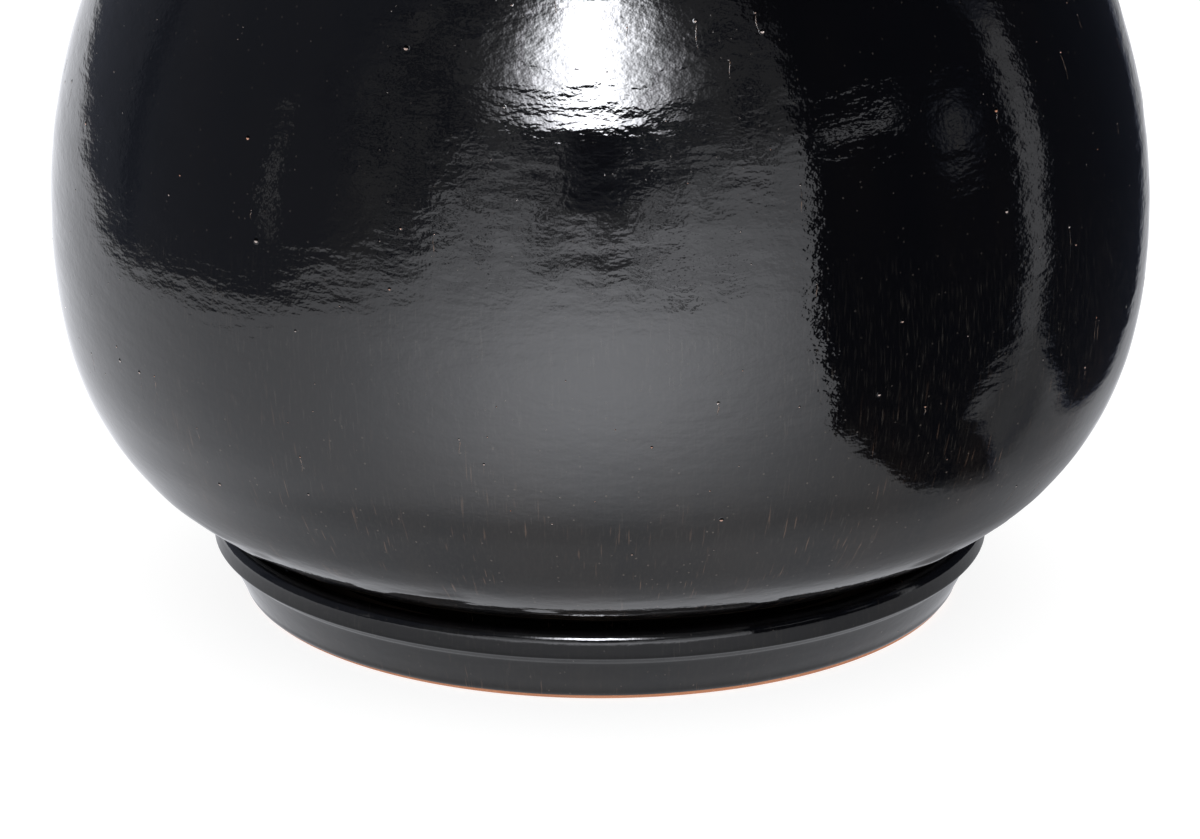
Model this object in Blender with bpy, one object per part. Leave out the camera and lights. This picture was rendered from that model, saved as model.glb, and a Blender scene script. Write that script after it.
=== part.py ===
"""Glazed clay pot standing in its own saucer, in metres with +Z up.

The origin is on the standing plane, at the centre of the saucer's foot ring. Pot and saucer are turned
shapes. Each is a fired clay body under a coat of black glaze, which stops short of the foot. The outlines
are those of the finished surface: under the glaze, the clay lies one coat below it.
"""
import math

import bmesh
import bpy
from mathutils import Matrix, Vector

# The pot's outer outline is a chain of arcs without kinks, both ways from the widest point of the belly.
# Each arc is given by the angle of its last outward normal, in degrees above the horizontal, and by its
# radius. A hollow arc's radius is negative.
BELLY_RADIUS = 0.254
BELLY_HEIGHT = 0.182
SHOULDER = (55, 0.110)
UPPER_BELLY = (26, 0.294)
NECK = (-40, -0.012)
RIM = (180, 0.009)
LOWER_BELLY = ((-6, 0.285), (-12, 0.215), (-20, 0.150), (-42, 0.126))
UNDERSIDE = (-70, 0.103)
UNDERSIDE_RUN = 0.025
FOOT_FILLET = (0, -0.008)

# Inside of the pot, and its foot.
WALL = 0.0145
THROAT_EDGE = 0.008
BOWL_END = -64
BOWL_FILLET = 0.020
INNER_FLOOR = 0.038
DRAIN_HOLE_RADIUS = 0.015
FOOT_RING_WIDTH = 0.0155
FOOT_RECESS = 0.008
FOOT_BEVEL = 0.0015
NOTCHES = 4
NOTCH_WIDTH = 0.022
NOTCH_HEIGHT = 0.007

# Saucer. Its angles are those of the outward normals of its lower face, of the step under its lip and of
# its inner wall.
LIP_RADIUS = 0.183
LIP_BASE = 0.0315
LIP_THICKNESS = 0.0105
STEP_HEIGHT = 0.0255
STEP_ANGLE = -52
STEP_EDGE = 0.0015
STEP_FILLET = 0.003
WAIST_HEIGHT = 0.0215
LOWER_FACE_ANGLE = -26
INNER_WALL_ANGLE = 162
FLOOR_FILLET = 0.006
SAUCER_FLOOR = 0.0132
BARE_BAND = 0.0028
RING_INNER_RADIUS = 0.150
UNDER_RECESS = 0.003

# The glaze, and the gap that keeps neighbouring solids apart.
GLAZE = 0.0012
GAP = 0.0003
COAT = GLAZE + GAP
POT_FOOT = SAUCER_FLOOR + GAP

# Fineness of the turned shapes: steps round the axis, and degrees for each chord of an arc.
TURN_STEPS = 32
WIDE_ARC_STEP = 11.0
TIGHT_ARC_STEP = 24.0
TIGHT_RADIUS = 0.03
MERGE = 0.00005

CLAY_COLOUR = (0.50, 0.20, 0.10, 1.0)
GLAZE_COLOUR = (0.006, 0.006, 0.008, 1.0)


# ---- outlines -------------------------------------------------------------------------------------

def facing(degrees):
    """Unit normal at an angle above the horizontal, in the plane of (radius, height)."""
    angle = math.radians(degrees)
    return Vector((math.cos(angle), math.sin(angle)))


def along(normal):
    """Direction of travel down an outer wall, or up an inner one."""
    return Vector((normal.y, -normal.x))


class Outline:
    """A chain of arcs and straight runs, kept as points with the surface's normals."""

    def __init__(self, radius, height, degrees):
        self.degrees = degrees
        self.points = [(Vector((radius, height)), facing(degrees))]

    def end(self):
        return self.points[-1][0]

    def arc(self, degrees, radius):
        start, first = self.end(), facing(self.degrees)
        chord = TIGHT_ARC_STEP if abs(radius) < TIGHT_RADIUS else WIDE_ARC_STEP
        steps = math.ceil(abs(degrees - self.degrees) / chord)
        for step in range(1, steps + 1):
            normal = facing(self.degrees + (degrees - self.degrees) * step / steps)
            self.points.append((start + radius * (normal - first), normal))
        self.degrees = degrees

    def line(self, length):
        normal = facing(self.degrees)
        self.points.append((self.end() + length * along(normal), normal))

    def line_to_height(self, height):
        self.line((self.end().y - height) / math.cos(math.radians(self.degrees)))

    def line_to_radius(self, radius):
        self.line((radius - self.end().x) / math.sin(math.radians(self.degrees)))

    def joined_to(self, following):
        """This outline walked backwards, then the one that starts at the same point."""
        whole = Outline(0, 0, 0)
        whole.points = self.points[::-1] + following.points[1:]
        return whole

    def inset(self, depth):
        return [point - depth * normal for point, normal in self.points]

    def ledge_after(self, depth):
        """A point one gap past the end, at a depth below the surface."""
        point, normal = self.points[-1]
        return point - depth * normal + GAP * along(normal)

    def ledge_before(self, depth):
        point, normal = self.points[0]
        return point - depth * normal - GAP * along(normal)


def pot_upper():
    """From the belly up over the shoulder, the neck and the rolled rim to the top of the throat."""
    outline = Outline(BELLY_RADIUS, BELLY_HEIGHT, 0)
    for degrees, radius in (UPPER_BELLY, SHOULDER, NECK, RIM):
        outline.arc(degrees, radius)
    return outline


def pot_lower():
    """From the belly down under the pot to the wall of its foot."""
    outline = Outline(BELLY_RADIUS, BELLY_HEIGHT, 0)
    for degrees, radius in LOWER_BELLY + (UNDERSIDE,):
        outline.arc(degrees, radius)
    outline.line(UNDERSIDE_RUN)
    outline.arc(*FOOT_FILLET)
    return outline


def shoulder_centre():
    outline = Outline(BELLY_RADIUS, BELLY_HEIGHT, 0)
    outline.arc(*UPPER_BELLY)
    return outline.end() - SHOULDER[1] * facing(UPPER_BELLY[0])


def pot_throat():
    """Inside the neck: straight down, over a rounded edge and out under the shoulder."""
    top = pot_upper().end()
    centre = shoulder_centre()
    across = top.x + THROAT_EDGE - centre.x
    rise = math.sqrt((SHOULDER[1] - WALL + THROAT_EDGE) ** 2 - across ** 2)
    outline = Outline(top.x, top.y, 180)
    outline.line_to_height(centre.y + rise)
    outline.arc(180 + math.degrees(math.atan2(rise, across)), THROAT_EDGE)
    outline.arc(180 + UPPER_BELLY[0], WALL - SHOULDER[1])
    return outline


def pot_bowl():
    """Inside the belly: parallel to the outer wall, then down to the flat floor."""
    start = pot_throat().end()
    outline = Outline(start.x, start.y, 180 + UPPER_BELLY[0])
    outline.arc(180, WALL - UPPER_BELLY[1])
    for degrees, radius in LOWER_BELLY + ((BOWL_END, UNDERSIDE[1]),):
        outline.arc(180 + degrees, WALL - radius)
    fillet_drop = BOWL_FILLET * (1 - facing(180 + BOWL_END).y)
    outline.line_to_height(INNER_FLOOR + fillet_drop)
    outline.arc(90, -BOWL_FILLET)
    outline.line_to_radius(DRAIN_HOLE_RADIUS)
    return outline


def pot_glazed():
    """All of the pot's glazed surface: up the throat, over the rim and down to the foot."""
    throat_and_rim = pot_throat().points[::-1] + pot_upper().points[::-1][1:]
    outline = Outline(0, 0, 0)
    outline.points = throat_and_rim + pot_lower().points[1:]
    return outline


def saucer_glazed():
    """From the middle of the saucer's floor up its inner wall, over the lip and down its outside."""
    inner = Outline(LIP_RADIUS, LIP_BASE, 0)
    inner.arc(INNER_WALL_ANGLE, LIP_THICKNESS / 2)
    fillet_drop = FLOOR_FILLET * (1 - facing(INNER_WALL_ANGLE).y)
    inner.line_to_height(SAUCER_FLOOR + fillet_drop)
    inner.arc(90, -FLOOR_FILLET)
    inner.line_to_radius(0.0)
    outer = Outline(LIP_RADIUS, LIP_BASE, 0)
    outer.line_to_height(STEP_HEIGHT)
    outer.arc(STEP_ANGLE, STEP_EDGE)
    outer.line_to_height(WAIST_HEIGHT)
    outer.arc(LOWER_FACE_ANGLE, -STEP_FILLET)
    outer.line_to_height(BARE_BAND)
    return inner.joined_to(outer)


# ---- solids ---------------------------------------------------------------------------------------

def clear_scene():
    for item in list(bpy.data.objects):
        bpy.data.objects.remove(item)


def make_material(name, colour, roughness, coat):
    material = bpy.data.materials.new(name)
    material.use_nodes = True
    shader = material.node_tree.nodes["Principled BSDF"]
    shader.inputs["Base Color"].default_value = colour
    shader.inputs["Roughness"].default_value = roughness
    shader.inputs["Metallic"].default_value = 0.0
    shader.inputs["Coat Weight"].default_value = coat
    return material


def turn(name, outline, closed, material):
    """Turn an outline about +Z; its outer side runs from top to bottom."""
    count = len(outline)
    edges = [(index, index + 1) for index in range(count - 1)]
    if closed:
        edges.append((count - 1, 0))
    mesh = bpy.data.meshes.new(name)
    mesh.from_pydata([(point.x, 0.0, point.y) for point in outline], edges, [])
    mesh.materials.append(material)
    solid = bpy.data.objects.new(name, mesh)
    bpy.context.collection.objects.link(solid)
    screw = solid.modifiers.new("Turn", "SCREW")
    screw.axis = "Z"
    screw.angle = 2 * math.pi
    screw.steps = TURN_STEPS
    screw.render_steps = TURN_STEPS
    screw.use_merge_vertices = True
    screw.merge_threshold = MERGE
    screw.use_smooth_shade = True
    return solid


def pot_clay_outline(foot_radius):
    """Closed outline of the clay: under the glaze, round the foot ring and the base, up the bare bowl."""
    glazed = pot_glazed()
    ring_inner = foot_radius - FOOT_RING_WIDTH
    base = POT_FOOT + FOOT_RECESS
    foot = [
        glazed.ledge_after(COAT),
        glazed.ledge_after(0.0),
        Vector((foot_radius, POT_FOOT + FOOT_BEVEL)),
        Vector((foot_radius - FOOT_BEVEL, POT_FOOT)),
        Vector((ring_inner, POT_FOOT)),
        Vector((ring_inner, base)),
        Vector((DRAIN_HOLE_RADIUS, base)),
    ]
    bowl = pot_bowl().inset(0.0)[:0:-1]
    ledge = [glazed.ledge_before(0.0), glazed.ledge_before(COAT)]
    return glazed.inset(COAT) + foot + bowl + ledge


def cut_drain_notches(pot, foot_radius):
    """Notches through the foot ring let water out of the recess under the drain hole."""
    for index in range(NOTCHES):
        name = f"notch_cutter_{index}"
        mesh = bpy.data.meshes.new(name)
        shape = bmesh.new()
        size = Matrix.Diagonal((3 * FOOT_RING_WIDTH, NOTCH_WIDTH, 2 * NOTCH_HEIGHT, 1.0))
        bmesh.ops.create_cube(shape, size=1.0, matrix=size)
        shape.to_mesh(mesh)
        shape.free()
        cutter = bpy.data.objects.new(name, mesh)
        bpy.context.collection.objects.link(cutter)
        angle = 2 * math.pi * index / NOTCHES
        reach = foot_radius - FOOT_RING_WIDTH / 2
        cutter.location = (reach * math.cos(angle), reach * math.sin(angle), POT_FOOT)
        cutter.rotation_euler = (0.0, 0.0, angle)
        cutter.hide_render = True
        cutter.display_type = "WIRE"
        cut = pot.modifiers.new(f"Notch {index}", "BOOLEAN")
        cut.operation = "DIFFERENCE"
        cut.solver = "EXACT"
        cut.object = cutter


def build_pot(clay, glaze):
    glazed = pot_glazed()
    coat_outline = glazed.inset(0.0) + glazed.inset(GLAZE)[::-1]
    foot_radius = pot_lower().end().x
    body = turn("pot_clay_body", pot_clay_outline(foot_radius), True, clay)
    cut_drain_notches(body, foot_radius)
    coat = turn("pot_glaze_coat", coat_outline, True, glaze)
    return body, coat


def saucer_clay_outline():
    glazed = saucer_glazed()
    foot = glazed.ledge_after(0.0)
    foot_radius = foot.x - foot.y * math.tan(math.radians(-LOWER_FACE_ANGLE))
    ring = [
        glazed.ledge_after(COAT),
        foot,
        Vector((foot_radius, 0.0)),
        Vector((RING_INNER_RADIUS, 0.0)),
        Vector((RING_INNER_RADIUS - UNDER_RECESS, UNDER_RECESS)),
        Vector((0.0, UNDER_RECESS)),
    ]
    return glazed.inset(COAT) + ring


def build_saucer(clay, glaze):
    glazed = saucer_glazed()
    coat_outline = glazed.inset(0.0) + glazed.inset(GLAZE)[::-1]
    body = turn("saucer_clay_body", saucer_clay_outline(), False, clay)
    coat = turn("saucer_glaze_coat", coat_outline, False, glaze)
    return body, coat


def hang_on_axis(solids):
    """The pot lifts straight up out of the saucer: an empty on the lifting axis carries its solids."""
    axis = bpy.data.objects.new("pot_lift_axis", None)
    axis.location = (0.0, 0.0, POT_FOOT)
    bpy.context.collection.objects.link(axis)
    bpy.context.view_layer.update()
    for solid in solids:
        solid.parent = axis
        solid.matrix_parent_inverse = axis.matrix_world.inverted()


def build():
    clear_scene()
    clay = make_material("fired_clay", CLAY_COLOUR, 0.9, 0.0)
    glaze = make_material("black_glaze", GLAZE_COLOUR, 0.08, 0.5)
    hang_on_axis(build_pot(clay, glaze))
    build_saucer(clay, glaze)


build()
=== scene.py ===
"""Looks of the black-glazed clay pot and its saucer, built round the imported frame.

Four finely turned surfaces stand for the four CAD nodes: the pot's clay and glaze, and the saucer's clay
and glaze. They follow the CAD outlines, and add what throwing and firing leave: rings, dents, a rolled
glaze edge, runs and pinholes.
"""
import math

import bpy
import numpy as np
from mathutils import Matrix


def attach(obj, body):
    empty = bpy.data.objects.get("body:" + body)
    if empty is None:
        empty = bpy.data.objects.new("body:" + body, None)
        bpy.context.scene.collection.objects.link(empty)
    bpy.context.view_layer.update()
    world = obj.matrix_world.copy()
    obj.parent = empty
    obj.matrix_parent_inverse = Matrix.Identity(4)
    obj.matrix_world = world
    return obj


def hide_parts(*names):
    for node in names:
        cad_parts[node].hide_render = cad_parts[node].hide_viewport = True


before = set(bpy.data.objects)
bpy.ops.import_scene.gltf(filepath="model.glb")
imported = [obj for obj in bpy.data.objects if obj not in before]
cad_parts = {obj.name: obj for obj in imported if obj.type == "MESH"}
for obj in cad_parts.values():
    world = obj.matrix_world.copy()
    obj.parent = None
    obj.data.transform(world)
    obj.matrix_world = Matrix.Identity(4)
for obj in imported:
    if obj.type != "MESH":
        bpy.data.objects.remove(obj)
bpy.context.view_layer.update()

MM = 0.001

# Outlines, as in the CAD. An arc is the angle of its last outward normal, in degrees above the
# horizontal, and its radius; a hollow arc's radius is negative.
BELLY_RADIUS = 0.254
BELLY_HEIGHT = 0.182
SHOULDER = (55, 0.110)
UPPER_BELLY = (26, 0.294)
NECK = (-40, -0.012)
RIM = (180, 0.009)
LOWER_BELLY = ((-6, 0.285), (-12, 0.215), (-20, 0.150), (-42, 0.126))
UNDERSIDE = (-70, 0.103)
UNDERSIDE_RUN = 0.025
FOOT_FILLET = (0, -0.008)
WALL = 0.0145
THROAT_EDGE = 0.008
BOWL_END = -64
BOWL_FILLET = 0.020
INNER_FLOOR = 0.038
DRAIN_HOLE_RADIUS = 0.015
FOOT_RING_WIDTH = 0.0155
FOOT_RECESS = 0.008
NOTCHES = 4
NOTCH_WIDTH = 0.022
NOTCH_HEIGHT = 0.007
LIP_RADIUS = 0.183
LIP_BASE = 0.0315
LIP_THICKNESS = 0.0105
STEP_HEIGHT = 0.0255
STEP_ANGLE = -52
STEP_EDGE = 0.0015
STEP_FILLET = 0.003
WAIST_HEIGHT = 0.0215
LOWER_FACE_ANGLE = -26
INNER_WALL_ANGLE = 162
FLOOR_FILLET = 0.006
SAUCER_FLOOR = 0.0132
RING_INNER_RADIUS = 0.150
UNDER_RECESS = 0.003
GLAZE = 0.0012
GAP = 0.0003
COAT = GLAZE + GAP
POT_FOOT = SAUCER_FLOOR + GAP

# Fineness of the turned surfaces.
POT_COLUMNS = 768
SAUCER_COLUMNS = 768
DENSE = 0.25 * MM
ROW = 2.0 * MM
TURN_PER_ROW = math.radians(7)

FRONT = -math.pi / 2


# ---- outlines -------------------------------------------------------------------------------------

def facing(degrees):
    angle = math.radians(degrees)
    return np.array((math.cos(angle), math.sin(angle)))


class Outline:
    """A chain of arcs and straight runs in (radius, height), kept as dense points with their normals."""

    def __init__(self, radius, height, degrees):
        self.degrees = degrees
        self.points = [np.array((radius, height))]
        self.normals = [facing(degrees)]

    def end(self):
        return self.points[-1]

    def add(self, point, normal):
        self.points.append(point)
        self.normals.append(normal)

    def arc(self, degrees, radius):
        start = self.end()
        first = facing(self.degrees)
        swept = math.radians(abs(degrees - self.degrees))
        steps = math.ceil(max(swept * abs(radius) / DENSE, swept / TURN_PER_ROW * 2))
        for step in range(1, steps + 1):
            normal = facing(self.degrees + (degrees - self.degrees) * step / steps)
            self.add(start + radius * (normal - first), normal)
        self.degrees = degrees

    def line(self, length):
        start = self.end()
        normal = facing(self.degrees)
        ahead = np.array((normal[1], -normal[0]))
        steps = math.ceil(abs(length) / DENSE)
        for step in range(1, steps + 1):
            self.add(start + ahead * length * step / steps, normal)

    def line_to_height(self, height):
        self.line((self.end()[1] - height) / math.cos(math.radians(self.degrees)))

    def line_to_radius(self, radius):
        self.line((radius - self.end()[0]) / math.sin(math.radians(self.degrees)))

    def arrays(self):
        return np.array(self.points), np.array(self.normals)


def pot_upper():
    outline = Outline(BELLY_RADIUS, BELLY_HEIGHT, 0)
    for degrees, radius in (UPPER_BELLY, SHOULDER, NECK, RIM):
        outline.arc(degrees, radius)
    return outline


def pot_lower():
    outline = Outline(BELLY_RADIUS, BELLY_HEIGHT, 0)
    for degrees, radius in LOWER_BELLY + (UNDERSIDE,):
        outline.arc(degrees, radius)
    outline.line(UNDERSIDE_RUN)
    outline.arc(*FOOT_FILLET)
    return outline


def pot_throat():
    """Inside the neck: down, over a rounded edge and out under the shoulder."""
    top = pot_upper().end()
    belly = Outline(BELLY_RADIUS, BELLY_HEIGHT, 0)
    belly.arc(*UPPER_BELLY)
    centre = belly.end() - SHOULDER[1] * facing(UPPER_BELLY[0])
    across = top[0] + THROAT_EDGE - centre[0]
    rise = math.sqrt((SHOULDER[1] - WALL + THROAT_EDGE) ** 2 - across ** 2)
    outline = Outline(top[0], top[1], 180)
    outline.line_to_height(centre[1] + rise)
    outline.arc(180 + math.degrees(math.atan2(rise, across)), THROAT_EDGE)
    outline.arc(180 + UPPER_BELLY[0], WALL - SHOULDER[1])
    return outline


def pot_bowl():
    """Inside the belly: parallel to the outer wall, then down to the floor and in to the drain hole."""
    start = pot_throat().end()
    outline = Outline(start[0], start[1], 180 + UPPER_BELLY[0])
    outline.arc(180, WALL - UPPER_BELLY[1])
    for degrees, radius in LOWER_BELLY + ((BOWL_END, UNDERSIDE[1]),):
        outline.arc(180 + degrees, WALL - radius)
    outline.line_to_height(INNER_FLOOR + BOWL_FILLET * (1 - facing(180 + BOWL_END)[1]))
    outline.arc(90, -BOWL_FILLET)
    outline.line_to_radius(DRAIN_HOLE_RADIUS)
    return outline


def joined(*pieces):
    """Outlines end to end, each given with whether it is walked backwards."""
    points, normals = [], []
    for outline, backwards in pieces:
        piece_points, piece_normals = outline.arrays()
        if backwards:
            piece_points, piece_normals = piece_points[::-1], piece_normals[::-1]
        skip = 1 if points else 0
        points.append(piece_points[skip:])
        normals.append(piece_normals[skip:])
    return np.concatenate(points), np.concatenate(normals)


def lengths_along(points):
    steps = np.linalg.norm(np.diff(points, axis=0), axis=1)
    return np.concatenate(([0.0], np.cumsum(steps)))


class Wall:
    """An outline as smooth functions of the length along it."""

    def __init__(self, points, normals):
        self.points = points
        self.normals = normals
        self.along = lengths_along(points)
        self.length = self.along[-1]

    def at(self, length):
        """Points and normals at an array of lengths, with the array's shape plus one axis."""
        point = np.stack([np.interp(length, self.along, self.points[:, axis]) for axis in (0, 1)], -1)
        normal = np.stack([np.interp(length, self.along, self.normals[:, axis]) for axis in (0, 1)], -1)
        return point, normal / np.linalg.norm(normal, axis=-1, keepdims=True)

    def rows(self, coarse=ROW, end_step=0.0):
        """Lengths for the rows of a mesh: closer where the outline turns, and near both ends."""
        turning = np.linalg.norm(np.diff(self.normals, axis=0), axis=1) / np.diff(self.along)
        step = np.minimum(coarse, TURN_PER_ROW / np.maximum(turning, 1e-6))
        if end_step:
            middle = (self.along[1:] + self.along[:-1]) / 2
            inward = np.minimum(middle, self.length - middle)
            step = np.minimum(step, end_step + 0.12 * inward)
        count = np.concatenate(([0.0], np.cumsum(np.diff(self.along) / step)))
        rows = math.ceil(count[-1])
        return np.interp(np.linspace(0, count[-1], rows + 1), count, self.along)


# ---- relief ---------------------------------------------------------------------------------------

def spline_weights(part):
    """The four weights of a cubic B-spline at a place between two knots."""
    return (
        (1 - part) ** 3 / 6,
        (3 * part ** 3 - 6 * part ** 2 + 4) / 6,
        (-3 * part ** 3 + 3 * part ** 2 + 3 * part + 1) / 6,
        part ** 3 / 6,
    )


def ripple(length, angle, pitch, around, seed):
    """Smooth noise from about -1 to 1: pitch metres per bump along the wall, and a number around it."""
    rng = np.random.default_rng(seed)
    knots = int(max(length.max(), 0.01) / pitch) + 5
    lattice = rng.normal(0.0, 1.0, (knots, around))
    row = length / pitch
    column = (angle % (2 * math.pi)) / (2 * math.pi) * around
    row_base = np.floor(row).astype(int)
    column_base = np.floor(column).astype(int)
    total = 0.0
    row_weights = spline_weights(row - row_base)
    column_weights = spline_weights(column - column_base)
    for i in range(4):
        for j in range(4):
            knot = lattice[(row_base + i) % knots, (column_base + j) % around]
            total = total + row_weights[i] * column_weights[j] * knot
    return total


def around_noise(angle, count, seed):
    return ripple(np.zeros_like(angle), angle, 1.0, count, seed)


def smooth(value, low, high):
    part = np.clip((value - low) / (high - low), 0, 1)
    return part * part * (3 - 2 * part)


# ---- turned meshes --------------------------------------------------------------------------------

def linked(name, mesh, material):
    mesh.shade_smooth()
    mesh.materials.append(material)
    item = bpy.data.objects.new(name, mesh)
    bpy.context.scene.collection.objects.link(item)
    return item


def mesh_object(name, vertices, faces, material):
    mesh = bpy.data.meshes.new(name)
    mesh.from_pydata(vertices, [], faces)
    return linked(name, mesh, material)


def turned(name, radii, heights, along, material, poles=False, level_flow=True):
    """A surface from arrays of radius and height, rows by columns, closed on itself or at two poles. Its
    flow attribute, for textures, has the same distance round at every radius, or else the true one."""
    rows, columns = radii.shape
    angle = np.arange(columns) * 2 * math.pi / columns
    place = np.stack((radii * np.cos(angle), radii * np.sin(angle), heights), -1)
    spread = BELLY_RADIUS * np.ones_like(radii) if level_flow else radii
    flow = np.stack((spread * np.cos(angle), spread * np.sin(angle), along), -1)
    vertices = place.reshape(-1, 3)
    flows = flow.reshape(-1, 3)
    index = np.arange(rows * columns).reshape(rows, columns)
    after = np.roll(index, -1, axis=1)
    lower = np.roll(index, -1, axis=0)
    lower_after = np.roll(after, -1, axis=0)
    quads = np.stack((index, lower, lower_after, after), -1)
    if poles:
        quads = quads[:-1]
    faces = quads.reshape(-1, 4)
    corners = faces.size
    starts = np.arange(len(faces)) * 4
    loops = faces.ravel()
    if poles:
        ends = np.array([[0, 0, heights[0].mean()], [0, 0, heights[-1].mean()]])
        top, bottom = len(vertices), len(vertices) + 1
        vertices = np.concatenate((vertices, ends))
        flows = np.concatenate((flows, np.array([[0, 0, along[0, 0]], [0, 0, along[-1, 0]]])))
        full = np.full(columns, top)
        first = np.stack((full, index[0], after[0]), -1)
        last = np.stack((np.full(columns, bottom), after[-1], index[-1]), -1)
        fans = np.concatenate((first, last))
        starts = np.concatenate((starts, corners + np.arange(len(fans)) * 3))
        loops = np.concatenate((loops, fans.ravel()))
    mesh = bpy.data.meshes.new(name)
    mesh.vertices.add(len(vertices))
    mesh.vertices.foreach_set("co", vertices.astype(np.float32).ravel())
    mesh.loops.add(len(loops))
    mesh.loops.foreach_set("vertex_index", loops.astype(np.int32))
    mesh.polygons.add(len(starts))
    mesh.polygons.foreach_set("loop_start", starts.astype(np.int32))
    mesh.update(calc_edges=True)
    mesh.validate()
    layer = mesh.attributes.new("flow", "FLOAT_VECTOR", "POINT")
    layer.data.foreach_set("vector", flows.astype(np.float32).ravel())
    return linked(name, mesh, material)


def grid(rows, columns):
    """Length along the wall and angle round it, as two arrays of rows by columns."""
    angle = np.arange(columns) * 2 * math.pi / columns
    return np.meshgrid(rows, angle, indexing="ij")


ROLL_HEIGHT = 0.30 * MM
ROLL_PLACE = 2.0 * MM
ROLL_WIDTH = 1.5 * MM
EDGE_RADIUS = 0.7 * MM
EDGE_STEP = 0.3 * MM
EDGE_MARGIN = 2 * MM
HEM_REACH = 14 * MM
RELIEF_FADE = 6 * MM
INSIDE_ROW = 12 * MM


def edge_roll(distance):
    """Glaze draws up into a soft bead at its edge, then turns down to the clay."""
    bead = ROLL_HEIGHT * np.exp(-((distance - ROLL_PLACE) / ROLL_WIDTH) ** 2)
    inside = np.clip(1 - distance / EDGE_RADIUS, 0, 1)
    return bead - EDGE_RADIUS * (1 - np.sqrt(np.clip(1 - inside ** 2, 0, 1)))


def glaze_shell(name, wall, relief, hems, columns, material, poles=False):
    """A coat with a rolled, uneven edge. hems gives how far each end draws back, by angle. With poles, the
    wall starts on the axis and only its other end has an edge."""
    length, angle = grid(wall.rows(end_step=EDGE_STEP), columns)
    from_start, from_end = length, wall.length - length
    start_hem, end_hem = hems
    drawn = length
    if start_hem is not None:
        drawn = drawn + start_hem(angle) * (1 - smooth(from_start, 0, HEM_REACH))
    drawn = drawn - end_hem(angle) * (1 - smooth(from_end, 0, HEM_REACH))
    point, normal = wall.at(drawn)
    height = relief(drawn, angle, point[..., 1])
    if start_hem is not None:
        height = height * smooth(from_start, 0, RELIEF_FADE) + edge_roll(from_start)
    height = height * smooth(from_end, 0, RELIEF_FADE) + edge_roll(from_end)
    outer = point + height[..., None] * normal
    inner_rows = wall.rows(coarse=INSIDE_ROW)[::-1]
    inner_length, _ = grid(inner_rows, columns)
    first = 0.0 if poles else EDGE_MARGIN
    inner_point, inner_normal = wall.at(np.clip(inner_length, first, wall.length - EDGE_MARGIN))
    inner = inner_point - GLAZE * inner_normal
    if poles:
        keep = inner_rows > ROW
        inner = inner[keep]
        inner_length = inner_length[keep]
        outer = outer[1:]
        drawn = drawn[1:]
    surface = np.concatenate((outer, inner))
    along = np.concatenate((drawn, inner_length))
    return turned(name, surface[..., 0], surface[..., 1], along, material, poles)


# Layers of relief: depth, pitch along the wall, bumps round it, and seed. Pot ripples and saucer layers begin
# with the throwing rings.
POT_RIPPLES = ((0.08 * MM, 9 * MM, 9, 11), (0.16 * MM, 11 * MM, 42, 12), (0.065 * MM, 5 * MM, 90, 14))
POT_DENTS = ((0.15 * MM, 30 * MM, 34, 13), (0.35 * MM, 120 * MM, 9, 15))
SAUCER_LAYERS = ((0.05 * MM, 6 * MM, 5, 21), (0.05 * MM, 9 * MM, 60, 22), (0.20 * MM, 60 * MM, 9, 23),
                 (0.035 * MM, 2.2 * MM, 7, 24))
RIPPLE_CALM = (0.130, 0.195)
CALM_SHARE = 0.45
BEADS_FROM = (0.044, 0.052)
BEADS_TO = (0.058, 0.075)
BEAD_DEPTH = 0.7 * MM


def layered(layers, length, angle):
    return sum(depth * ripple(length, angle, pitch, around, seed) for depth, pitch, around, seed in layers)


def pot_relief(length, angle, height):
    """Ripples strongest on the upper belly, and beads of glaze where it gathers under the belly."""
    lively = CALM_SHARE + (1 - CALM_SHARE) * smooth(height, *RIPPLE_CALM)
    gathers = smooth(height, *BEADS_FROM) * (1 - smooth(height, *BEADS_TO))
    beads = BEAD_DEPTH * np.clip(ripple(length, angle, 6 * MM, 90, 16) - 0.2, 0, None) * gathers
    return layered(POT_RIPPLES, length, angle) * lively + layered(POT_DENTS, length, angle) + beads


def saucer_relief(length, angle, height):
    return layered(SAUCER_LAYERS, length, angle)


# ---- pinholes -------------------------------------------------------------------------------------

# Pinholes are scattered by seeded draws. The large ones lie on the belly and the shoulder.
LARGE_PINHOLES = 75
LARGE_FROM = 0.090
LARGE_TO = 0.320
PINHOLES = 260
SAUCER_PINHOLES = 26
CRATER_RINGS = np.array((0.18, 0.34, 0.50, 0.66, 0.82, 1.0))
CRATER_SIDES = 14
RUN_ROWS = 12
RUN_WIDTH = 0.42 * MM
RUN_END_DEPTH = -0.06 * MM


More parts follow.
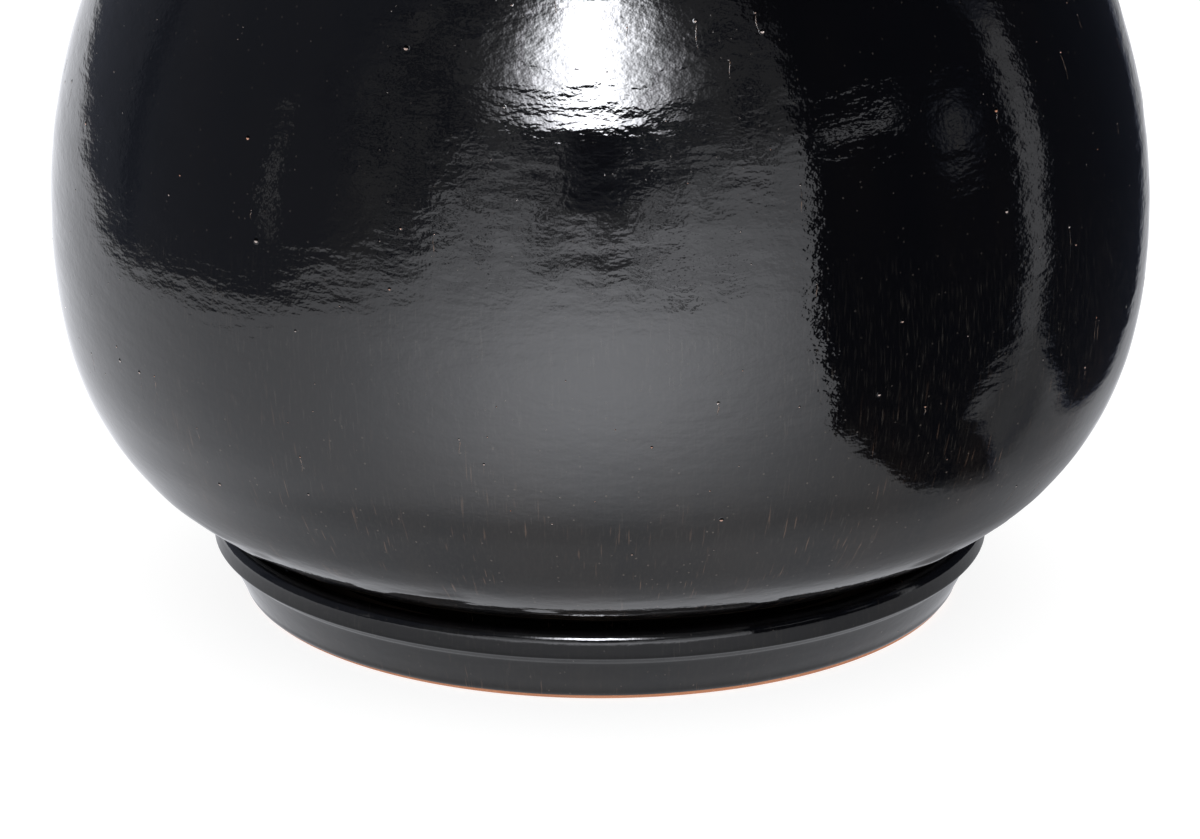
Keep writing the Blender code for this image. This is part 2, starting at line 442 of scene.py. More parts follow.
class Patches:
    """Small closed shapes gathered in one mesh, with a look for each point: pit, warmth, and run, which below
    zero marks the painted shade of a pit's hole.
    """

    def __init__(self, wall, relief):
        self.wall = wall
        self.relief = relief
        self.vertices = []
        self.looks = []
        self.faces = []

    def spot(self, length, angle, lift):
        """Points at a lift above the glaze, from arrays of length along the wall and angle round it."""
        point, normal = self.wall.at(length)
        height = self.relief(length, angle, point[..., 1]) + lift
        place = point + height[..., None] * normal
        return np.stack((place[..., 0] * np.cos(angle), place[..., 0] * np.sin(angle), place[..., 1]), -1)

    def loft(self, rings, looks, sides):
        """Rings of points with a single point before and after them."""
        first = len(self.vertices)
        count = len(rings)
        self.vertices.extend(rings)
        self.looks.extend(looks)
        last = first + count - 1
        starts = range(first + 1, last, sides)
        for side in range(sides):
            after = (side + 1) % sides
            self.faces.append((first, starts[0] + after, starts[0] + side))
            self.faces.append((last, starts[-1] + side, starts[-1] + after))
            for upper, lower in zip(starts[:-1], starts[1:]):
                self.faces.append((upper + side, upper + after, lower + after, lower + side))

    def crater(self, length, angle, radius, warmth):
        """A blister with a raised rim round a pit: painted shade blackens the hole above, and the pit's lower
        side is pale, warming to orange.
        """
        turn = np.arange(CRATER_SIDES) * 2 * math.pi / CRATER_SIDES
        part, turn = np.meshgrid(CRATER_RINGS, turn, indexing="ij")
        part = np.concatenate(([0.0], part.ravel(), [0.5]))
        turn = np.concatenate(([0.0], turn.ravel(), [0.0]))
        part_down = part * np.sin(turn)
        rim = np.exp(-((part - 0.56) / 0.17) ** 2)
        lift = radius * (0.035 * rim + 0.02 * (1 - part) - 0.04 * part ** 3)
        lift[-1] = -0.12 * radius
        beside = self.wall.at(np.array(length))[0][0]
        points = self.spot(length + radius * part_down, angle + radius * part * np.cos(turn) / beside, lift)
        pit = (1 - smooth(part, 0.34, 0.50)) * smooth(part_down, -0.06, 0.16)
        # Painted shade: the upper part of the pit, where its hole lies in shadow.
        hole = (1 - smooth(part, 0.46, 0.64)) * (1 - smooth(part_down, -0.06, 0.12))
        looks = np.stack((pit, np.full_like(pit, warmth), -hole), -1)
        self.loft(points, looks, CRATER_SIDES)

    def run(self, length, angle, reach, warmth):
        """A thin line that trails down from a pinhole."""
        along = (np.arange(RUN_ROWS) + 0.5) / RUN_ROWS
        width = RUN_WIDTH * np.sin(math.pi * along ** 0.6)
        beside = self.wall.at(np.array(length))[0][0]
        across = np.array((-1.0, 0.0, 1.0, 0.0))
        lifts = np.array((-0.04, 0.045, -0.04, -0.12)) * MM
        down = np.repeat(along, 4)
        sway = 0.35 * MM * np.sin(down * 5 + warmth * 9)
        aside = np.outer(width, across).ravel() + sway
        lengths = np.concatenate(([0.0], down, [1.0])) * reach + length
        angles = angle + np.concatenate(([0.0], aside, [sway[-1]])) / beside
        end = [RUN_END_DEPTH]
        points = self.spot(lengths, angles, np.concatenate((end, np.tile(lifts, RUN_ROWS), end)))
        looks = np.tile((0.0, warmth, 1.0), (len(points), 1))
        self.loft(points, looks, 4)

    def build(self, name, material):
        vertices = [tuple(vertex) for vertex in self.vertices]
        item = mesh_object(name, vertices, self.faces, material)
        attribute = item.data.attributes.new("look", "FLOAT_VECTOR", "POINT")
        attribute.data.foreach_set("vector", np.array(self.looks, np.float32).ravel())
        return item


def build_pot_pinholes(material):
    """Large pinholes scattered on the belly and the shoulder, and many small ones scattered round the pot."""
    wall = pot_glaze_wall()
    patches = Patches(wall, pot_relief)
    outside = wall.along > pot_belt() - 0.17
    heights = wall.points[outside, 1][::-1]
    lengths = wall.along[outside][::-1]
    spots = []
    rng = np.random.default_rng(73)
    for _ in range(LARGE_PINHOLES):
        height = LARGE_FROM + (LARGE_TO - LARGE_FROM) * rng.random()
        radius = (1.2 + 1.1 * rng.random() ** 2) * MM
        reach = (3 + 12 * rng.random()) * MM if rng.random() < 0.5 else 0.0
        spots.append((rng.random() * 2 * math.pi, height, radius, rng.random() ** 2, reach))
    rng = np.random.default_rng(71)
    for _ in range(PINHOLES):
        height = 0.345 - 0.27 * rng.random() ** 1.4
        radius = (0.55 + 0.75 * rng.random() ** 3) * MM
        reach = 3 * MM + rng.random() * 9 * MM if rng.random() < 0.2 else 0.0
        spots.append((rng.random() * 2 * math.pi, height, radius, rng.random() ** 2, reach))
    for angle, height, radius, warmth, reach in spots:
        length = np.interp(height, heights, lengths)
        patches.crater(length, angle, radius, warmth)
        if reach:
            patches.run(length + radius * 0.7, angle, reach, warmth)
    return patches.build("pot_glaze_pinholes", material)


def build_saucer_pinholes(material):
    wall = saucer_wall()
    patches = Patches(wall, saucer_relief)
    rng = np.random.default_rng(72)
    for _ in range(SAUCER_PINHOLES):
        length = wall.length - (3 + 26 * rng.random()) * MM
        angle = rng.random() * 2 * math.pi
        radius = (0.45 + 0.35 * rng.random()) * MM
        patches.crater(length, angle, radius, rng.random() ** 2)
    return patches.build("saucer_glaze_pinholes", material)


# ---- shader fields --------------------------------------------------------------------------------

def connect(tree, value, slot):
    if isinstance(value, Field):
        tree.links.new(value.socket, slot)
    else:
        slot.default_value = value


class Field:
    """A number, vector or colour carried by a socket; arithmetic on it adds Math nodes."""

    def __init__(self, tree, socket):
        self.tree = tree
        self.socket = socket

    def math(self, operation, *others):
        node = self.tree.nodes.new("ShaderNodeMath")
        node.operation = operation
        for value, slot in zip((self,) + others, node.inputs):
            connect(self.tree, value, slot)
        return Field(self.tree, node.outputs[0])

    def __add__(self, other):
        return self.math("ADD", other)

    def __radd__(self, other):
        return self.math("ADD", other)

    def __sub__(self, other):
        return self.math("SUBTRACT", other)

    def __rsub__(self, other):
        return self.math("MULTIPLY", -1.0).math("ADD", other)

    def __mul__(self, other):
        return self.math("MULTIPLY", other)

    def __rmul__(self, other):
        return self.math("MULTIPLY", other)

    def __truediv__(self, other):
        return self.math("DIVIDE", other)

    def ramp(self, low, high):
        """0 below low, 1 above high, smooth between."""
        node = self.tree.nodes.new("ShaderNodeMapRange")
        node.interpolation_type = "SMOOTHSTEP"
        connect(self.tree, self, node.inputs["Value"])
        connect(self.tree, low, node.inputs["From Min"])
        connect(self.tree, high, node.inputs["From Max"])
        return Field(self.tree, node.outputs["Result"])

    def band(self, low, low_soft, high, high_soft):
        """1 between low and high, each with its own softness."""
        rise = self.ramp(low - low_soft, low + low_soft)
        fall = self.ramp(high - high_soft, high + high_soft)
        return rise * (1.0 - fall)

    def bell(self, centre, width):
        part = (self - centre) / width
        return (part * part * -1.0).math("EXPONENT")

    def mix(self, other, amount):
        """self where amount is 0, other where it is 1; for numbers."""
        return self * (1.0 - amount) + other * amount


def colour_mix(tree, first, second, amount):
    node = tree.nodes.new("ShaderNodeMix")
    node.data_type = "RGBA"
    connect(tree, amount, node.inputs["Factor"])
    connect(tree, first, node.inputs["A"])
    connect(tree, second, node.inputs["B"])
    return Field(tree, node.outputs["Result"])


def stretched(tree, vector, scale):
    node = tree.nodes.new("ShaderNodeVectorMath")
    node.operation = "MULTIPLY"
    connect(tree, vector, node.inputs[0])
    node.inputs[1].default_value = scale
    return Field(tree, node.outputs["Vector"])


def noise(tree, vector, size, detail=2.0, roughness=0.5):
    """Noise from 0 to 1 with features of about size metres."""
    node = tree.nodes.new("ShaderNodeTexNoise")
    connect(tree, vector, node.inputs["Vector"])
    node.inputs["Scale"].default_value = 1.0 / size
    node.inputs["Detail"].default_value = detail
    node.inputs["Roughness"].default_value = roughness
    return Field(tree, node.outputs[0])


def cells(tree, vector, size):
    """(distance to the nearest cell point in cells, a random number for each cell)."""
    node = tree.nodes.new("ShaderNodeTexVoronoi")
    connect(tree, vector, node.inputs["Vector"])
    node.inputs["Scale"].default_value = 1.0 / size
    split = tree.nodes.new("ShaderNodeSeparateColor")
    tree.links.new(node.outputs["Color"], split.inputs[0])
    return Field(tree, node.outputs["Distance"]), Field(tree, split.outputs[0])


def attribute(tree, name):
    node = tree.nodes.new("ShaderNodeAttribute")
    node.attribute_name = name
    return Field(tree, node.outputs["Vector"])


def coordinates(tree, kind):
    return Field(tree, tree.nodes.new("ShaderNodeTexCoord").outputs[kind])


def parts(tree, vector):
    """A vector's X, Y and Z."""
    node = tree.nodes.new("ShaderNodeSeparateXYZ")
    connect(tree, vector, node.inputs[0])
    return [Field(tree, node.outputs[axis]) for axis in "XYZ"]


def bump(tree, height, distance, below=None):
    node = tree.nodes.new("ShaderNodeBump")
    node.inputs["Distance"].default_value = distance
    connect(tree, height, node.inputs["Height"])
    if below is not None:
        connect(tree, below, node.inputs["Normal"])
    return Field(tree, node.outputs["Normal"])


def new_material(name):
    material = bpy.data.materials.new(name)
    material.use_nodes = True
    tree = material.node_tree
    return material, tree, tree.nodes["Principled BSDF"]


# ---- materials ------------------------------------------------------------------------------------

BLACK = (0.0012, 0.0012, 0.0016, 1.0)
BROWN_BLACK = (0.0080, 0.0058, 0.0044, 1.0)
STREAK = (0.105, 0.066, 0.046, 1.0)
TICK = (0.026, 0.023, 0.020, 1.0)
SPECK = (0.110, 0.092, 0.078, 1.0)
# Painted shade: the black inside a pinhole's hole.
PAINTED_HOLE_SHADE = (0.0004, 0.0004, 0.0005, 1.0)
PALE_PIT = (0.46, 0.41, 0.39, 1.0)
PALE_RUN = (0.120, 0.080, 0.058, 1.0)
BARE_PIT = (0.50, 0.20, 0.10, 1.0)


def glaze_material(name, tick_from, thin_from, thin_to, calm_from, calm_to):
    """Thick black glaze: level ripples, brown where it runs thin, fine specks and smudges."""
    material, tree, shader = new_material(name)
    flow = attribute(tree, "flow")
    along = parts(tree, flow)[2]
    lively = 1.0 - along.ramp(calm_from, calm_to) * 0.6
    peel = noise(tree, stretched(tree, flow, (0.9, 0.9, 1.9)), 4.6 * MM, 1.0)
    pebble = noise(tree, stretched(tree, flow, (0.85, 0.85, 1.4)), 1.9 * MM, 0.0)
    swell = noise(tree, stretched(tree, flow, (1, 1, 2.6)), 15 * MM, 1.0)
    grit = noise(tree, stretched(tree, flow, (0.9, 0.9, 1.2)), 0.9 * MM, 0.0)
    fine = bump(tree, grit * lively, 0.021 * MM)
    small = bump(tree, pebble * lively, 0.042 * MM, fine)
    middle = bump(tree, peel * lively, 0.075 * MM, small)
    surface = bump(tree, swell * lively, 0.22 * MM, middle)

    thin = along.ramp(thin_from, thin_to)
    runs = noise(tree, stretched(tree, flow, (1, 1, 0.08)), 1.2 * MM, 1.0)
    run_place = noise(tree, stretched(tree, flow, (1, 1, 0.6)), 24 * MM, 1.0)
    streak = runs.ramp(0.645, 0.78) * run_place.ramp(0.42, 0.62) * thin
    ticks = noise(tree, stretched(tree, flow, (1, 1, 0.10)), 0.8 * MM, 1.0)
    faint = ticks.ramp(0.52, 0.72) * 0.20 + ticks.ramp(0.66, 0.76) * run_place.ramp(0.40, 0.60) * 0.5
    tick = faint * along.ramp(tick_from, thin_from)
    haze = noise(tree, stretched(tree, flow, (1, 1, 0.35)), 40 * MM, 2.0).ramp(0.35, 0.75)
    distance, chance = cells(tree, flow, 2.8 * MM)
    speck = (1.0 - distance.ramp(0.10, 0.22)) * chance.ramp(0.86, 0.88)

    colour = colour_mix(tree, BLACK, BROWN_BLACK, haze * (thin * 0.65 + 0.10))
    mottle = noise(tree, stretched(tree, flow, (1, 1, 0.6)), 1.5 * MM, 2.0, 0.6).ramp(0.46, 0.72)
    colour = colour_mix(tree, colour, TICK, tick.math("MAXIMUM", mottle * thin * 0.22))
    colour = colour_mix(tree, colour, STREAK, streak * 0.65)
    colour = colour_mix(tree, colour, SPECK, speck * (thin * 0.45 + 0.15))
    connect(tree, colour, shader.inputs["Base Color"])
    smudge = noise(tree, flow, 30 * MM, 3.0)
    connect(tree, smudge.ramp(0.3, 0.8) * 0.035 + speck * 0.2 + 0.035, shader.inputs["Roughness"])
    connect(tree, surface, shader.inputs["Normal"])
    shader.inputs["IOR"].default_value = 1.5
    return material


def pinhole_material(name):
    """Glaze round a pit that is pale, warming to orange, on its lower side, with painted shade blackening the
    hole above it, and the brown run below it.
    """
    material, tree, shader = new_material(name)
    pit, warmth, run_and_hole_shade = parts(tree, attribute(tree, "look"))
    spot = coordinates(tree, "Object")
    crumbs = noise(tree, spot, 0.35 * MM, 2.0, 0.6)
    core = colour_mix(tree, PALE_PIT, BARE_PIT, warmth)
    core = colour_mix(tree, core, IRON, crumbs.ramp(0.52, 0.70) * 0.6)
    trails = noise(tree, stretched(tree, spot, (1, 1, 0.2)), 0.8 * MM, 1.0)
    colour = colour_mix(tree, BLACK, PALE_RUN, run_and_hole_shade.ramp(0.2, 0.9) * trails.ramp(0.35, 0.70))
    colour = colour_mix(tree, colour, core, pit)
    # Painted shade: the hole is painted black and made metallic, so that it hardly reflects.
    hole = run_and_hole_shade.ramp(-0.2, -0.9)
    colour = colour_mix(tree, colour, PAINTED_HOLE_SHADE, hole)
    connect(tree, colour, shader.inputs["Base Color"])
    connect(tree, hole, shader.inputs["Metallic"])
    connect(tree, (pit + hole) * 0.55 + crumbs * 0.05 + 0.035, shader.inputs["Roughness"])
    connect(tree, bump(tree, crumbs, 0.05 * MM), shader.inputs["Normal"])
    shader.inputs["IOR"].default_value = 1.5
    return material


CLAY = (0.46, 0.19, 0.095, 1.0)
CLAY_DARK = (0.33, 0.125, 0.062, 1.0)
CLAY_PALE = (0.62, 0.35, 0.22, 1.0)
# A lighter copy of the clay for the pot, brightened to offset the shade inside its bowl: painted light.
BOWL_CLAY_PAINTED_LIGHT = (0.60, 0.31, 0.175, 1.0)
IRON = (0.10, 0.045, 0.030, 1.0)
WASH = (0.012, 0.009, 0.008, 1.0)


def clay_material(name, tone, wash_from=0.0, wash_to=0.0):
    """Bare fired clay: matt, mottled, with sand grains, iron specks, and fine throwing lines and rings that
    carry painted light and shade.
    Between two lengths along the wall it is stained dark."""
    material, tree, shader = new_material(name)
    flow = attribute(tree, "flow")
    mottle = noise(tree, flow, 35 * MM, 3.0, 0.6)
    lines = noise(tree, stretched(tree, flow, (0.03, 0.03, 1)), 1.6 * MM, 2.0)
    grain = noise(tree, flow, 0.8 * MM, 2.0, 0.6)
    distance, chance = cells(tree, flow, 2.2 * MM)
    iron = (1.0 - distance.ramp(0.10, 0.22)) * chance.ramp(0.78, 0.82)
    rings = noise(tree, stretched(tree, flow, (0.03, 0.03, 1)), 9 * MM, 1.0)
    # Mottle darkens the clay at random; the rings add darker bands along the throwing rings: painted shade.
    colour = colour_mix(tree, tone, CLAY_DARK, mottle.ramp(0.40, 0.78) * 0.5 + rings.ramp(0.42, 0.75) * 0.35)
    # Sand grains are paler at random; the fine lines are paler where they rise: painted light along the
    # throwing lines.
    colour = colour_mix(tree, colour, CLAY_PALE, grain.ramp(0.55, 0.75) * 0.40 + lines.ramp(0.55, 0.8) * 0.3)
    colour = colour_mix(tree, colour, IRON, iron * 0.8)
    if wash_to > wash_from:
        along = parts(tree, flow)[2] + mottle * 3 * MM
        colour = colour_mix(tree, colour, WASH, along.band(wash_from, 1 * MM, wash_to, 1 * MM) * 0.95)
    connect(tree, colour, shader.inputs["Base Color"])
    connect(tree, grain * 0.15 + 0.78, shader.inputs["Roughness"])
    rough = bump(tree, grain, 0.12 * MM)
    scratched = bump(tree, lines, 0.15 * MM, rough)
    connect(tree, bump(tree, rings, 0.8 * MM, scratched), shader.inputs["Normal"])
    shader.inputs["Specular IOR Level"].default_value = 0.3
    return material


# ---- pieces ---------------------------------------------------------------------------------------

POT_GLAZE_END = 22.5 * MM
SAUCER_GLAZE_END = 0.3 * MM
# The bare clay line at the saucer's foot: its height, least and most, and the side where it is highest.
BARE_MIN = 0.2 * MM
BARE_MAX = 2.1 * MM
BARE_WIDEST = FRONT + math.radians(30)


def pot_glaze_wall():
    lower = pot_lower()
    lower.line_to_height(max(POT_GLAZE_END, POT_FOOT + NOTCH_HEIGHT + 1.5 * MM))
    return Wall(*joined((pot_throat(), True), (pot_upper(), True), (lower, False)))


def pot_belt():
    """Length along the glaze, from its inner edge, to the widest part of the belly."""
    return Wall(*joined((pot_throat(), True), (pot_upper(), True))).length


def build_pot_glaze(material):
    wall = pot_glaze_wall()

    def inner_hem(angle):
        runs = np.clip(around_noise(angle, 46, 31), 0, None) ** 2
        return 8 * MM - 3 * MM * around_noise(angle, 14, 32) - 3.5 * MM * runs

    def foot_hem(angle):
        return 1.2 * MM + 0.6 * MM * around_noise(angle, 40, 33) + 0.8 * MM * around_noise(angle, 9, 34)

    return glaze_shell("pot_glaze_fired", wall, pot_relief, (inner_hem, foot_hem), POT_COLUMNS, material)


def saucer_wall():
    inner = Outline(LIP_RADIUS, LIP_BASE, 0)
    inner.arc(INNER_WALL_ANGLE, LIP_THICKNESS / 2)
    inner.line_to_height(SAUCER_FLOOR + FLOOR_FILLET * (1 - facing(INNER_WALL_ANGLE)[1]))
    inner.arc(90, -FLOOR_FILLET)
    inner.line_to_radius(0.0)
    outer = Outline(LIP_RADIUS, LIP_BASE, 0)
    outer.line_to_height(STEP_HEIGHT)
    outer.arc(STEP_ANGLE, STEP_EDGE)
    outer.line_to_height(WAIST_HEIGHT)
    outer.arc(LOWER_FACE_ANGLE, -STEP_FILLET)
    outer.line_to_height(SAUCER_GLAZE_END)
    return Wall(*joined((inner, True), (outer, False)))


def build_saucer_glaze(material):
    def foot_hem(angle):
        towards = (1 + np.cos(angle - BARE_WIDEST)) / 2
        uneven = 0.25 * MM * around_noise(angle, 60, 41) + 0.35 * MM * around_noise(angle, 13, 42)
        return np.clip(BARE_MIN + (BARE_MAX - BARE_MIN) * towards ** 1.5 + uneven, 0, None)

    wall = saucer_wall()
    return glaze_shell("saucer_glaze_fired", wall, saucer_relief, (None, foot_hem),
                       SAUCER_COLUMNS, material, poles=True)


def corner_outline(corners):
    """Straight runs between corners, dense, with one normal for each run."""
    points, normals = [], []
    for start, end in zip(corners[:-1], corners[1:]):
        start, end = np.array(start, float), np.array(end, float)
        run = end - start
        length = np.linalg.norm(run)
        steps = max(2, math.ceil(length / DENSE))
        normal = np.array((-run[1], run[0])) / length
        for step in range(steps):
            points.append(start + run * step / steps)
            normals.append(normal)
    points.append(np.array(corners[-1], float))
    normals.append(normals[-1])
    return np.array(points), np.array(normals)


def notch_share(angle, radius):
    """1 in the middle of each drain notch and 0 beside it, by angle round the foot ring."""
    share = np.zeros_like(angle)
    for index in range(NOTCHES):
        turn = angle - 2 * math.pi * index / NOTCHES
        beside = np.abs(np.sin(turn) * radius)
        inside = (1 - smooth(beside, 0.40 * NOTCH_WIDTH, 0.56 * NOTCH_WIDTH)) * (np.cos(turn) > 0)
        share = np.maximum(share, inside)
    return share


def pot_foot_ring(start):
    """Down the foot ring's outside, under it, up into the recess and in to the drain hole."""
    foot_radius = pot_lower().end()[0] - GAP
    ring_inner = foot_radius - FOOT_RING_WIDTH
    base = POT_FOOT + FOOT_RECESS
    corners = [(foot_radius, start), (foot_radius, POT_FOOT + 1.6 * MM),
               (foot_radius - 0.5 * MM, POT_FOOT + 0.5 * MM), (foot_radius - 1.6 * MM, POT_FOOT),
               (ring_inner + 1.2 * MM, POT_FOOT), (ring_inner, POT_FOOT + 1.0 * MM),
               (ring_inner - 0.5 * MM, base - 1.5 * MM), (ring_inner - 2.5 * MM, base),
               (DRAIN_HOLE_RADIUS + 1.0 * MM, base), (DRAIN_HOLE_RADIUS, base + 1.0 * MM)]
    ring_points, ring_normals = corner_outline(corners)
    ring = Wall(ring_points, ring_normals)
    rows = np.concatenate((np.arange(0.8 * MM, 45 * MM, 0.8 * MM), np.arange(48 * MM, ring.length, 4 * MM)))
    ring_length, ring_angle = grid(rows, POT_COLUMNS)
    point, normal = ring.at(ring_length)
    wear = 0.12 * MM * ripple(ring_length, ring_angle, 5 * MM, 120, 51)
    sag = 0.25 * MM * ripple(ring_length, ring_angle, 18 * MM, 24, 52)
    low = smooth(point[..., 1], base - 1 * MM, base + 4 * MM)
    foot = point + ((wear + sag * low) * smooth(ring_length, 0, 2 * MM))[..., None] * normal
    foot[..., 1] = np.maximum(foot[..., 1], POT_FOOT)
    top = start - 1 * MM
    share = np.clip((top - foot[..., 1]) / (top - POT_FOOT), 0, 1)
    on_ring = smooth(foot[..., 0], ring_inner - 3 * MM, ring_inner - 1 * MM)
    foot[..., 1] += NOTCH_HEIGHT * notch_share(ring_angle, foot_radius) * share * on_ring
    return foot, ring_length


def pot_bowl_surface():
    """The bowl from the drain hole up, with a spiral throwing line, lumps and drag marks."""
    bowl = Wall(*joined((pot_bowl(), True),))
    bowl_length, bowl_angle = grid(bowl.rows(coarse=3.0 * MM), POT_COLUMNS)
    point, normal = bowl.at(bowl_length)
    spiral = np.cos(2 * math.pi * bowl_length / (9.5 * MM) - bowl_angle)
    strength = 0.6 + 0.4 * ripple(bowl_length, bowl_angle, 60 * MM, 5, 53)
    away = smooth(bowl_length, 0, 12 * MM) * smooth(bowl.length - bowl_length, 0, 10 * MM)
    lumps = 0.30 * MM * ripple(bowl_length, bowl_angle, 14 * MM, 50, 54)
    drag = 0.10 * MM * ripple(bowl_length, bowl_angle, 4 * MM, 12, 55)
    return point + ((0.35 * MM * spiral * strength + lumps + drag) * away)[..., None] * normal, bowl_length


def build_pot_clay(material):
    """The fired body: hidden under the glaze, bare in the bowl, on the foot ring and under the base."""
    glazed = pot_glaze_wall()
    outer_rows = glazed.rows(coarse=8 * MM)
    outer_rows = outer_rows[(outer_rows > 20 * MM) & (outer_rows < glazed.length - 8 * MM)]
    outer_length, _ = grid(outer_rows, POT_COLUMNS)
    point, normal = glazed.at(outer_length)
    outer = point - COAT * normal

    foot_length, _ = grid(np.linspace(glazed.length - 6 * MM, glazed.length, 13), POT_COLUMNS)
    point, normal = glazed.at(foot_length)
    foot_top = point - GAP * normal
    foot, ring_length = pot_foot_ring(glazed.at(np.array(glazed.length))[0][1])
    bowl, bowl_length = pot_bowl_surface()

    throat = Wall(*joined((pot_throat(), True),))
    under_length, _ = grid(np.linspace(0, 26 * MM, 10)[::-1], POT_COLUMNS)
    point, normal = throat.at(under_length)
    under = (point - GAP * normal)[::-1]

    # The bowl's and the throat's lengths start far enough on that their textures differ from the foot's.
    lengths = (outer_length, foot_length, foot_length[-1:] + ring_length, 0.7 + bowl_length,
               1.2 + under_length)
    surface = np.concatenate((outer, foot_top, foot, bowl, under))
    along = np.concatenate(lengths)
    return turned("pot_clay_fired", surface[..., 0], surface[..., 1], along, material, level_flow=False)


def build_saucer_clay(material):
    glazed = saucer_wall()
    rows = glazed.rows(coarse=6 * MM)
    rows = rows[(rows > 3 * MM) & (rows < glazed.length - 9 * MM)]
    length, _ = grid(rows, SAUCER_COLUMNS)
    point, normal = glazed.at(length)
    hidden = point - COAT * normal
    band_rows = np.linspace(glazed.length - 7 * MM, glazed.length - 0.5 * MM, 14)
    band_length, band_angle = grid(band_rows, SAUCER_COLUMNS)
    point, normal = glazed.at(band_length)
    grain = 0.05 * MM * ripple(band_length, band_angle, 1.2 * MM, 500, 61)
    band = point + (grain - 0.35 * MM)[..., None] * normal
    foot_radius = glazed.points[-1, 0]
    corners = [(foot_radius - 0.6 * MM, 0.35 * MM), (foot_radius - 1.2 * MM, 0.0),
               (RING_INNER_RADIUS, 0.0), (RING_INNER_RADIUS - 1.0 * MM, 0.6 * MM),
               (RING_INNER_RADIUS - UNDER_RECESS, UNDER_RECESS), (0.002, UNDER_RECESS)]
    under_points, under_normals = corner_outline(corners)
    under = Wall(under_points, under_normals)
    under_rows = np.concatenate((np.arange(0, 26 * MM, 1.0 * MM), np.arange(27 * MM, under.length, 4 * MM)))
    under_length, under_angle = grid(under_rows, SAUCER_COLUMNS)
    point, normal = under.at(under_length)
    rings = 0.15 * MM * ripple(under_length, under_angle, 5 * MM, 24, 62)
    below = point + (rings * smooth(under_length, 0, 4 * MM))[..., None] * normal
    below[..., 1] = np.maximum(below[..., 1], 0.0)
    surface = np.concatenate((hidden, band, below))
    along = np.concatenate((length, band_length, glazed.length + under_length))
    return turned("saucer_clay_fired", surface[..., 0], surface[..., 1], along, material, poles=True,
                  level_flow=False)


# ---- studio ---------------------------------------------------------------------------------------

CAMERA_PLACE = (0.0, -2.0205, 0.7458)
CAMERA_PITCH = 18.37
LENS = 135.0
SENSOR = 36.0


def build_camera():
    camera = bpy.data.cameras.new("camera")
    camera.lens = LENS
    camera.sensor_width = SENSOR
    camera.clip_end = 50.0
    item = bpy.data.objects.new("camera", camera)
    item.location = CAMERA_PLACE
    item.rotation_euler = (math.radians(90 - CAMERA_PITCH), 0.0, 0.0)
    bpy.context.scene.collection.objects.link(item)
    bpy.context.scene.camera = item


FLOOR = -0.1 * MM
FLOOR_HALF = 8.0
MIRROR_FLOOR = -0.05 * MM
MIRROR_FLOOR_RADIUS = 0.34
MIRROR_FLOOR_FADE = (0.275, 0.33)
MIRROR_FLOOR_SIDES = 96
SOFT_BOX = 40.0
SIDE_BOX = 1.6
FLAG_BLACK = 0.022
MIRROR_TINT = (0.985, 1.0, 1.055, 1.0)
DIM_TINT = (0.85, 1.0, 1.45, 1.0)
MATT_LIGHT = 1.22


def build_floor():
    """A large pale floor, hidden from reflections, because the glaze mirrors the studio round it instead."""
    material, _, shader = new_material("studio_floor")
    shader.inputs["Base Color"].default_value = (0.30, 0.30, 0.30, 1.0)
    shader.inputs["Roughness"].default_value = 0.9
    shader.inputs["Specular IOR Level"].default_value = 0.0
    shader.inputs["Emission Color"].default_value = (1.0, 1.0, 1.0, 1.0)
    shader.inputs["Emission Strength"].default_value = 0.82
    corners = [(x * FLOOR_HALF, y * FLOOR_HALF, FLOOR) for x, y in ((-1, -1), (1, -1), (1, 1), (-1, 1))]
    floor = mesh_object("studio_floor", corners, [(0, 1, 2, 3)], material)
    floor.visible_glossy = False


def build_mirror_floor():
    """A glowing disc by the saucer, seen only in the glaze's reflections: a painted reflection of the floor,
    with painted shadow by the saucer and on the right. It fades out into the studio's own floor.
    """
    material = bpy.data.materials.new("painted_floor_reflection")
    material.use_nodes = True
    tree = material.node_tree
    tree.nodes.clear()
    right, ahead, _ = parts(tree, coordinates(tree, "Object"))
    radius = (right * right + ahead * ahead).math("SQRT")
    # Painted shade across the disc: lighter on the far left, darker on the right, where the flags shade the
    # floor.
    lean = 1.25 - right.ramp(-0.28, -0.18) * 0.25 - right.ramp(0.08, 0.24) * 0.45
    glow = tree.nodes.new("ShaderNodeEmission")
    glow.inputs["Color"].default_value = MIRROR_TINT
    # Painted shadow of the pot: darker in a ring just outside the saucer.
    shade = radius.ramp(0.178, 0.200) * -0.28 + radius.ramp(0.215, 0.265) * 0.24 + 0.80
    connect(tree, shade * lean, glow.inputs["Strength"])
    clear = tree.nodes.new("ShaderNodeBsdfTransparent")
    chosen = tree.nodes.new("ShaderNodeMixShader")
    connect(tree, radius.ramp(*MIRROR_FLOOR_FADE), chosen.inputs["Fac"])
    tree.links.new(glow.outputs[0], chosen.inputs[1])
    tree.links.new(clear.outputs[0], chosen.inputs[2])
    output = tree.nodes.new("ShaderNodeOutputMaterial")
    tree.links.new(chosen.outputs[0], output.inputs["Surface"])
    turns = [2 * math.pi * side / MIRROR_FLOOR_SIDES for side in range(MIRROR_FLOOR_SIDES)]
    rim = [(MIRROR_FLOOR_RADIUS * math.cos(turn), MIRROR_FLOOR_RADIUS * math.sin(turn), MIRROR_FLOOR)
           for turn in turns]
    disc = mesh_object("painted_floor_reflection", rim, [tuple(range(MIRROR_FLOOR_SIDES))], material)
    for ray in ("camera", "diffuse", "transmission", "volume_scatter", "shadow"):
        setattr(disc, "visible_" + ray, False)


